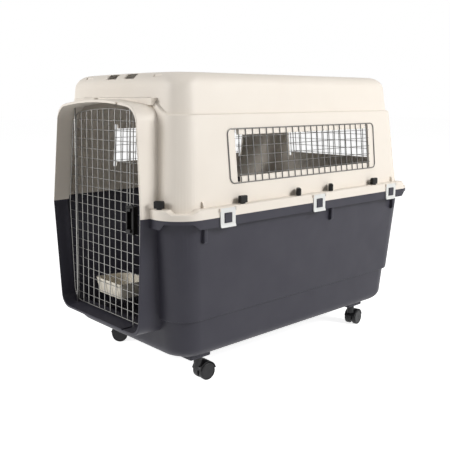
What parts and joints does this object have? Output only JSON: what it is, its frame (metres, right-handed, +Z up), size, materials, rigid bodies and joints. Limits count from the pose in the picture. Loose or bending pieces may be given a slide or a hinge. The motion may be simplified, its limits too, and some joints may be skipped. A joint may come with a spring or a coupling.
{
  "type": "pet travel crate",
  "caption": "Two-part plastic pet crate with a wire front door in a short tunnel, long grilled side windows, a bolted and clipped rim and swivelling twin-wheel casters.",
  "frame": {"origin": "on the floor under the middle of the crate", "axes": "+Z up, -Y towards the door, +X towards the long side that the picture shows"},
  "size_m": [0.7896, 1.22, 0.984],
  "materials": {
    "beige_polypropylene": "fine grain",
    "slate_polypropylene": "fine grain",
    "white_nylon": "satin",
    "black_nylon": "satin",
    "caster_nylon": "satin",
    "nickel_plated_wire": "bright plated",
    "cream_polypropylene": "smooth",
    "zinc_plated_steel": "zinc plated"
  },
  "bodies": {
    "crate": {"lower_shell": "slate_polypropylene", "upper_shell": "beige_polypropylene", "window_grille_right": "nickel_plated_wire", "window_grille_left": "nickel_plated_wire", "window_grille_rear": "nickel_plated_wire", "rim_bolt_right_1": "zinc_plated_steel", "rim_bolt_right_2": "zinc_plated_steel", "rim_bolt_right_3": "zinc_plated_steel", "rim_bolt_right_4": "zinc_plated_steel", "rim_bolt_front_right": "zinc_plated_steel", "rim_bolt_left_1": "zinc_plated_steel", "rim_bolt_left_2": "zinc_plated_steel", "rim_bolt_left_3": "zinc_plated_steel", "rim_bolt_left_4": "zinc_plated_steel", "rim_bolt_front_left": "zinc_plated_steel", "caster_stem_front_right": "zinc_plated_steel", "caster_stem_rear_right": "zinc_plated_steel", "caster_stem_front_left": "zinc_plated_steel", "caster_stem_rear_left": "zinc_plated_steel"},
    "door": {"door_mesh": "nickel_plated_wire", "door_hinge_rod": "nickel_plated_wire", "latch_housing": "black_nylon", "food_dish": "cream_polypropylene"},
    "latch_upper": {"latch_rod_upper": "zinc_plated_steel"},
    "latch_lower": {"latch_rod_lower": "zinc_plated_steel"},
    "clip_right_1": {"side_clip_right_1": "white_nylon"},
    "clip_right_2": {"side_clip_right_2": "white_nylon"},
    "clip_right_3": {"side_clip_right_3": "white_nylon"},
    "clip_left_1": {"side_clip_left_1": "white_nylon"},
    "clip_left_2": {"side_clip_left_2": "white_nylon"},
    "clip_left_3": {"side_clip_left_3": "white_nylon"},
    "wing_nut_right_1": {"wing_nut_right_1": "black_nylon"},
    "wing_nut_right_2": {"wing_nut_right_2": "black_nylon"},
    "wing_nut_right_3": {"wing_nut_right_3": "black_nylon"},
    "wing_nut_right_4": {"wing_nut_right_4": "black_nylon"},
    "wing_nut_front_right": {"wing_nut_front_right": "black_nylon"},
    "wing_nut_left_1": {"wing_nut_left_1": "black_nylon"},
    "wing_nut_left_2": {"wing_nut_left_2": "black_nylon"},
    "wing_nut_left_3": {"wing_nut_left_3": "black_nylon"},
    "wing_nut_left_4": {"wing_nut_left_4": "black_nylon"},
    "wing_nut_front_left": {"wing_nut_front_left": "black_nylon"},
    "caster_front_right": {"caster_hood_front_right": "black_nylon"},
    "wheels_front_right": {"caster_axle_front_right": "zinc_plated_steel", "caster_wheel_front_right_right": "caster_nylon", "caster_wheel_front_right_left": "caster_nylon"},
    "caster_rear_right": {"caster_hood_rear_right": "black_nylon"},
    "wheels_rear_right": {"caster_axle_rear_right": "zinc_plated_steel", "caster_wheel_rear_right_right": "caster_nylon", "caster_wheel_rear_right_left": "caster_nylon"},
    "caster_front_left": {"caster_hood_front_left": "black_nylon"},
    "wheels_front_left": {"caster_axle_front_left": "zinc_plated_steel", "caster_wheel_front_left_right": "caster_nylon", "caster_wheel_front_left_left": "caster_nylon"},
    "caster_rear_left": {"caster_hood_rear_left": "black_nylon"},
    "wheels_rear_left": {"caster_axle_rear_left": "zinc_plated_steel", "caster_wheel_rear_left_right": "caster_nylon", "caster_wheel_rear_left_left": "caster_nylon"}
  },
  "joints": [
    {"name": "door_swing", "type": "hinge", "parent": "crate", "child": "door", "pos_m": [-0.206, -0.553, 0.559], "axis": [0, -0.0314, -0.9995], "range_deg": [0, 90]},
    {"name": "latch_upper_slide", "type": "slide", "parent": "door", "child": "latch_upper", "axis": [0, -0.0314, -0.9995], "range_m": [0, 0.018], "stiffness_N_per_m": 300, "springref_m": -0.02},
    {"name": "latch_lower_slide", "type": "slide", "parent": "door", "child": "latch_lower", "axis": [0, 0.0314, 0.9995], "range_m": [0, 0.018], "stiffness_N_per_m": 300, "springref_m": -0.02},
    {"name": "clip_right_1_hinge", "type": "hinge", "parent": "crate", "child": "clip_right_1", "pos_m": [0.38905, -0.3855, 0.58405], "axis": [0, -1, 0], "range_deg": [0, 100]},
    {"name": "clip_right_2_hinge", "type": "hinge", "parent": "crate", "child": "clip_right_2", "pos_m": [0.38905, 0.034, 0.58405], "axis": [0, -1, 0], "range_deg": [0, 100]},
    {"name": "clip_right_3_hinge", "type": "hinge", "parent": "crate", "child": "clip_right_3", "pos_m": [0.38905, 0.4536, 0.58405], "axis": [0, -1, 0], "range_deg": [0, 100]},
    {"name": "clip_left_1_hinge", "type": "hinge", "parent": "crate", "child": "clip_left_1", "pos_m": [-0.38905, -0.3855, 0.58405], "axis": [0, 1, 0], "range_deg": [0, 100]},
    {"name": "clip_left_2_hinge", "type": "hinge", "parent": "crate", "child": "clip_left_2", "pos_m": [-0.38905, 0.034, 0.58405], "axis": [0, 1, 0], "range_deg": [0, 100]},
    {"name": "clip_left_3_hinge", "type": "hinge", "parent": "crate", "child": "clip_left_3", "pos_m": [-0.38905, 0.4536, 0.58405], "axis": [0, 1, 0], "range_deg": [0, 100]},
    {"name": "wing_nut_right_1_spin", "type": "hinge", "parent": "crate", "child": "wing_nut_right_1", "pos_m": [0.3755, -0.311, 0.589], "axis": [0, 0, 1], "continuous": true},
    {"name": "wing_nut_right_2_spin", "type": "hinge", "parent": "crate", "child": "wing_nut_right_2", "pos_m": [0.3755, -0.0566, 0.589], "axis": [0, 0, 1], "continuous": true},
    {"name": "wing_nut_right_3_spin", "type": "hinge", "parent": "crate", "child": "wing_nut_right_3", "pos_m": [0.3755, 0.1103, 0.589], "axis": [0, 0, 1], "continuous": true},
    {"name": "wing_nut_right_4_spin", "type": "hinge", "parent": "crate", "child": "wing_nut_right_4", "pos_m": [0.3755, 0.3631, 0.589], "axis": [0, 0, 1], "continuous": true},
    {"name": "wing_nut_front_right_spin", "type": "hinge", "parent": "crate", "child": "wing_nut_front_right", "pos_m": [0.2945, -0.5682, 0.589], "axis": [0, 0, 1], "continuous": true},
    {"name": "wing_nut_left_1_spin", "type": "hinge", "parent": "crate", "child": "wing_nut_left_1", "pos_m": [-0.3755, -0.311, 0.589], "axis": [0, 0, 1], "continuous": true},
    {"name": "wing_nut_left_2_spin", "type": "hinge", "parent": "crate", "child": "wing_nut_left_2", "pos_m": [-0.3755, -0.0566, 0.589], "axis": [0, 0, 1], "continuous": true},
    {"name": "wing_nut_left_3_spin", "type": "hinge", "parent": "crate", "child": "wing_nut_left_3", "pos_m": [-0.3755, 0.1103, 0.589], "axis": [0, 0, 1], "continuous": true},
    {"name": "wing_nut_left_4_spin", "type": "hinge", "parent": "crate", "child": "wing_nut_left_4", "pos_m": [-0.3755, 0.3631, 0.589], "axis": [0, 0, 1], "continuous": true},
    {"name": "wing_nut_front_left_spin", "type": "hinge", "parent": "crate", "child": "wing_nut_front_left", "pos_m": [-0.2945, -0.5682, 0.589], "axis": [0, 0, 1], "continuous": true},
    {"name": "caster_front_right_swivel", "type": "hinge", "parent": "crate", "child": "caster_front_right", "pos_m": [0.25, -0.393, 0.07], "axis": [0, 0, 1], "continuous": true},
    {"name": "wheels_front_right_spin", "type": "hinge", "parent": "caster_front_right", "child": "wheels_front_right", "pos_m": [0.251, -0.36802, 0.029], "axis": [0.9992, -0.0401, 0], "continuous": true},
    {"name": "caster_rear_right_swivel", "type": "hinge", "parent": "crate", "child": "caster_rear_right", "pos_m": [0.25, 0.4133, 0.07], "axis": [0, 0, 1], "continuous": true},
    {"name": "wheels_rear_right_spin", "type": "hinge", "parent": "caster_rear_right", "child": "wheels_rear_right", "pos_m": [0.24592, 0.43796, 0.029], "axis": [0.9866, 0.1633, 0], "continuous": true},
    {"name": "caster_front_left_swivel", "type": "hinge", "parent": "crate", "child": "caster_front_left", "pos_m": [-0.25, -0.393, 0.07], "axis": [0, 0, 1], "continuous": true},
    {"name": "wheels_front_left_spin", "type": "hinge", "parent": "caster_front_left", "child": "wheels_front_left", "pos_m": [-0.23393, -0.37385, 0.029], "axis": [0.766, -0.6428, 0], "continuous": true},
    {"name": "caster_rear_left_swivel", "type": "hinge", "parent": "crate", "child": "caster_rear_left", "pos_m": [-0.25, 0.4133, 0.07], "axis": [0, 0, 1], "continuous": true},
    {"name": "wheels_rear_left_spin", "type": "hinge", "parent": "caster_rear_left", "child": "wheels_rear_left", "pos_m": [-0.25605, 0.43756, 0.029], "axis": [0.9703, 0.2419, 0], "continuous": true}
  ]
}
